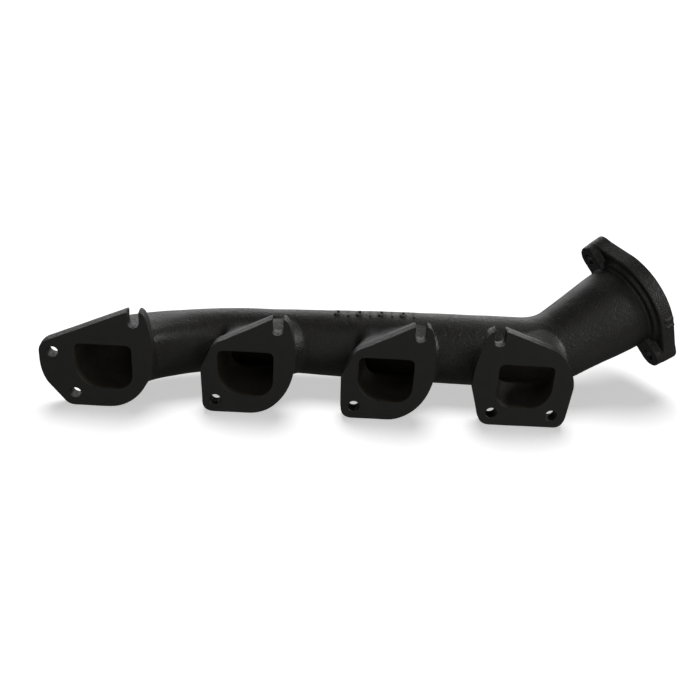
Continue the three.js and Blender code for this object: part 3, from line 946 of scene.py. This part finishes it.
def make_mill_lay():
    """Fine sweeping marks of a face mill, half filled by paint."""
    names = {"Along": VALUE, "Across": VALUE, "Where": VECTOR}
    board, given, out = effect("mill_lay", names, {"Height": VALUE, "Streak": VALUE})
    sweep_radius, pitch = 0.16, 0.0011
    lift = board.maths("ADD", given["Across"], sweep_radius)
    squares = [board.maths("POWER", side, 2.0) for side in (given["Along"], lift)]
    radius = board.maths("SQRT", board.maths("ADD", *squares))
    wander = board.maths("MULTIPLY", board.noise(given["Where"], 0.009, 2.0), 5.0)
    turn = board.maths("MULTIPLY_ADD", radius, 2 * math.pi / pitch, wander)
    ridges = board.maths("MULTIPLY_ADD", board.maths("SINE", turn), 0.5, 0.5)
    soft = board.span(board.noise(given["Where"], 0.0008, 2.0), 0.2, 0.8)
    height = board.maths("MULTIPLY_ADD", soft, 0.55, board.maths("MULTIPLY", ridges, 0.5))
    board.feed(out.inputs["Height"], height)
    streak = board.noise(given["Where"], 0.013, 4.0, 0.65)
    board.feed(out.inputs["Streak"], board.span(streak, 0.35, 0.7))
    return board.tree


sand_grain = make_sand_grain()
coat_mottle = make_coat_mottle()
mill_lay = make_mill_lay()


def material(name):
    made = bpy.data.materials.new(name)
    made.use_nodes = True
    board = Board(made.node_tree)
    where = board.add("ShaderNodeTexCoord").outputs["Object"]
    return made, board, where


def use(board, group, values):
    return board.add("ShaderNodeGroup", values, node_tree=group).outputs


def coat_over(board, colour, rough, specular, relief):
    """The paint itself, over a relief."""
    bump = board.add("ShaderNodeBump", relief)
    board.lit({
        "Base Color": colour, "Roughness": rough, "Normal": bump.outputs[0],
        "Specular IOR Level": specular,
    })


def cast_coat(name, dark, pale, roughness, specular, grain, depth):
    """Satin black heat paint over a sand-cast skin."""
    made, board, where = material(name)
    skin_grain = use(board, sand_grain, {"Where": where, "Grain": grain, "Pits": 0.5})
    mottle = use(board, coat_mottle, {"Where": where})
    colour = board.tint(mottle["Drift"], dark, pale)
    fleck = board.maths("MULTIPLY", mottle["Flecks"], 0.5)
    colour = board.tint(fleck, colour, tuple(1.6 * c for c in pale))
    rough = board.maths("MULTIPLY_ADD", mottle["Drift"], 0.08, roughness - 0.04)
    rough = board.maths("MULTIPLY_ADD", skin_grain["Hollow"], 0.12, rough)
    relief = {"Height": skin_grain["Height"], "Strength": 1.0, "Distance": depth}
    coat_over(board, colour, rough, specular, relief)
    return made


def faced_coat(name, dark, pale, roughness, specular, across, along):
    """The same paint, thinner and flatter, over a milled face."""
    made, board, where = material(name)
    offsets = []
    for axis in (along, across):
        node = board.add("ShaderNodeVectorMath", {0: where, 1: tuple(axis)}, operation="DOT_PRODUCT")
        offsets.append(node.outputs["Value"])
    lay = use(board, mill_lay, {"Along": offsets[0], "Across": offsets[1], "Where": where})
    mottle = use(board, coat_mottle, {"Where": where})
    colour = board.tint(lay["Streak"], dark, pale)
    fleck = board.maths("MULTIPLY", mottle["Flecks"], 0.4)
    colour = board.tint(fleck, colour, tuple(1.5 * c for c in pale))
    rough = board.maths("MULTIPLY_ADD", lay["Streak"], 0.07, roughness)
    relief = {"Height": lay["Height"], "Strength": 0.8, "Distance": 0.00003}
    coat_over(board, colour, rough, specular, relief)
    return made


COAT_DARK = (0.0098, 0.0090, 0.0080)
COAT_PALE = (0.0136, 0.0126, 0.0112)
BORE_DARK = (0.025, 0.0225, 0.017)
BORE_PALE = (0.036, 0.032, 0.025)
BLACK = (COAT_DARK, COAT_PALE)
cast_iron_coat = cast_coat("black_coat_on_sand_cast_iron", *BLACK, 0.42, 0.40, 1.0, 0.0003)
bore_coat = cast_coat("thin_coat_on_core_sand_bores", BORE_DARK, BORE_PALE, 0.46, 0.45, 0.7, 0.00018)
mark_coat = cast_coat("black_coat_on_raised_marks", *BLACK, 0.42, 0.40, 0.5, 0.00015)
port_face_coat = faced_coat("black_coat_on_port_faces", *BLACK, 0.40, 0.40, Z, X)
outlet_face_coat = faced_coat("black_coat_on_outlet_face", *BLACK, 0.40, 0.40, across_bolts, bolt_line)


# ---- finish the pieces ---------------------------------------------------------------------------

for node, piece in regions.items():
    piece.name = node + "_casting"
    piece.data.name = piece.name
    piece.data.materials.clear()
    faced = node == "outlet_flange" or node.startswith("port_flange")
    piece.data.materials.append(cast_iron_coat)
    piece.data.materials.append(bore_coat)
    if faced:
        piece.data.materials.append(outlet_face_coat if node == "outlet_flange" else port_face_coat)
    piece.data.polygons.foreach_set("material_index", face_kinds(piece))
    shade(piece, field)
    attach(piece, "root")
    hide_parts(node)

marks = []
for number in range(1, MARK_COUNT + 1):
    place = MARK_FIRST_X + (number - 1) * MARK_PITCH
    mark = foundry_mark(f"raised_mark_{number}", place, number % 2 == 1)
    mark.data.materials.append(mark_coat)
    mark.data.polygons.foreach_set("use_smooth", np.ones(len(mark.data.polygons), bool))
    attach(mark, "root")
    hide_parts(f"foundry_mark_{number}")
    marks.append(mark)


# ---- floor, light and camera ---------------------------------------------------------------------


FLOOR_REACH = 14.0
FLOOR_GLOW = 0.53
SWEEP_ENERGY = 2.2
SWEEP_SOFTNESS = math.radians(40)
SWEEP_TILT = math.radians(-22)
STUDIO_GLOW = 0.078


def make_floor():
    """A pale sweep under the part that neither lights it nor shows in it."""
    r, low = FLOOR_REACH / MM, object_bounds()[0][2] / MM
    points = [(x, y, low) for x, y in ((-r, -r), (r, -r), (r, r), (-r, r))]
    floor = mesh_object("floor", points, [(0, 1, 2, 3)])
    made, board, where = material("pale_floor")
    drift = board.span(board.noise(where, 0.8, 2.0), 0.3, 0.7)
    board.lit({
        "Base Color": board.tint(drift, (0.86, 0.86, 0.86), (0.88, 0.88, 0.88)),
        "Roughness": 0.9, "Specular IOR Level": 0.0,
        "Emission Color": (1, 1, 1, 1), "Emission Strength": FLOOR_GLOW,
    })
    made.cycles.emission_sampling = "NONE"
    floor.data.materials.append(made)
    floor.visible_diffuse = False
    floor.visible_glossy = False
    floor.visible_shadow = False
    floor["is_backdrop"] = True
    return floor


def lit_group(name, members):
    """The objects that a lamp lights."""
    group = bpy.data.collections.new(name)
    for member in members:
        group.objects.link(member)
    return group


def lamp(name, kind, lights):
    """A lamp that lights one group, and its settings."""
    settings = bpy.data.lights.new(name, kind)
    made = bpy.data.objects.new(name, settings)
    bpy.context.scene.collection.objects.link(made)
    made.light_linking.receiver_collection = lights
    return made, settings


# The sweep has its own lamp, so the part is lit by the softboxes alone.
sweep_only = lit_group("sweep_only", [make_floor()])
part_only = lit_group("part_only", [*regions.values(), *marks])

sweep_lamp, sweep_sun = lamp("sweep_lamp", "SUN", sweep_only)
sweep_sun.energy = SWEEP_ENERGY
sweep_sun.angle = SWEEP_SOFTNESS
sweep_lamp.rotation_euler = (SWEEP_TILT, 0, 0)

# Each panel's place, what it is aimed at, its width and height in metres, and its watts.
SOFTBOXES = {
    "back_low_panel": ((0.0, 2.0, 0.30), (0.0, 0.0, 0.10), 3.4, 0.62, 8.6),
    "back_panel": ((0.0, 2.0, 0.70), (0.0, 0.0, 0.10), 3.4, 0.50, 9.6),
    "back_mid_panel": ((0.6, 1.7, 1.20), (0.0, 0.0, 0.0), 1.9, 0.50, 1.6),
    "back_high_panel": ((0.7, 0.9, 1.50), (0.0, 0.0, 0.0), 1.8, 0.60, 4.0),
    "right_panel": ((1.5, 0.1, 0.50), (0.0, 0.0, 0.0), 0.9, 0.80, 8.0),
    "elbow_panel": ((1.35, -0.12, 0.89), (0.2, 0.0, 0.0), 0.30, 0.30, 9.0),
    "low_right_panel": ((0.9, -0.6, -0.70), (0.2, 0.0, 0.0), 0.8, 0.50, 0.5),
    "right_front_panel": ((1.3, -0.5, 0.35), (0.1, 0.0, 0.0), 0.35, 0.35, 1.2),
    "front_high_panel": ((0.0, -1.1, 1.30), (0.0, 0.0, 0.0), 1.8, 0.60, 2.8),
    "front_panel": ((0.0, -1.5, 0.25), (0.0, 0.0, 0.0), 1.6, 0.50, 2.6),
    "front_left_panel": ((-1.2, -1.0, 0.60), (0.0, 0.0, 0.0), 0.6, 0.60, 1.4),
    "front_low_panel": ((0.0, -1.3, -0.50), (0.0, 0.0, 0.0), 2.4, 0.60, 1.5),
}
for name, (place, aim, width, height, watts) in SOFTBOXES.items():
    panel, light = lamp(name, "AREA", part_only)
    light.shape = "RECTANGLE"
    light.size, light.size_y = width, height
    light.energy = watts
    panel.location = place
    panel.rotation_euler = (Vector(aim) - Vector(place)).to_track_quat("-Z", "Y").to_euler()

world = bpy.data.worlds.new("studio")
world.use_nodes = True
glow = world.node_tree.nodes["Background"].inputs
glow["Color"].default_value = (1, 1, 1, 1)
glow["Strength"].default_value = STUDIO_GLOW
bpy.context.scene.world = world

CAMERA_PLACE = Vector((0.00877, -0.64303, 0.33895))
CAMERA_AIM = Vector((0.02725, 0.030, 0.0115))
CAMERA_ROLL = math.radians(3.5814)
CAMERA_LENS = 46.2857


def make_camera():
    ahead = (CAMERA_AIM - CAMERA_PLACE).normalized()
    side = ahead.cross(Vector(Z)).normalized()
    up = side.cross(ahead)
    right = math.cos(CAMERA_ROLL) * side + math.sin(CAMERA_ROLL) * up
    turn = Matrix((right, right.cross(ahead), -ahead)).transposed()
    data = bpy.data.cameras.new("camera")
    data.sensor_width = 36.0
    data.lens = CAMERA_LENS
    camera = bpy.data.objects.new("camera", data)
    camera.matrix_world = Matrix.Translation(CAMERA_PLACE) @ turn.to_4x4()
    bpy.context.scene.collection.objects.link(camera)
    bpy.context.scene.camera = camera


make_camera()
bpy.context.scene.view_settings.view_transform = "Standard"
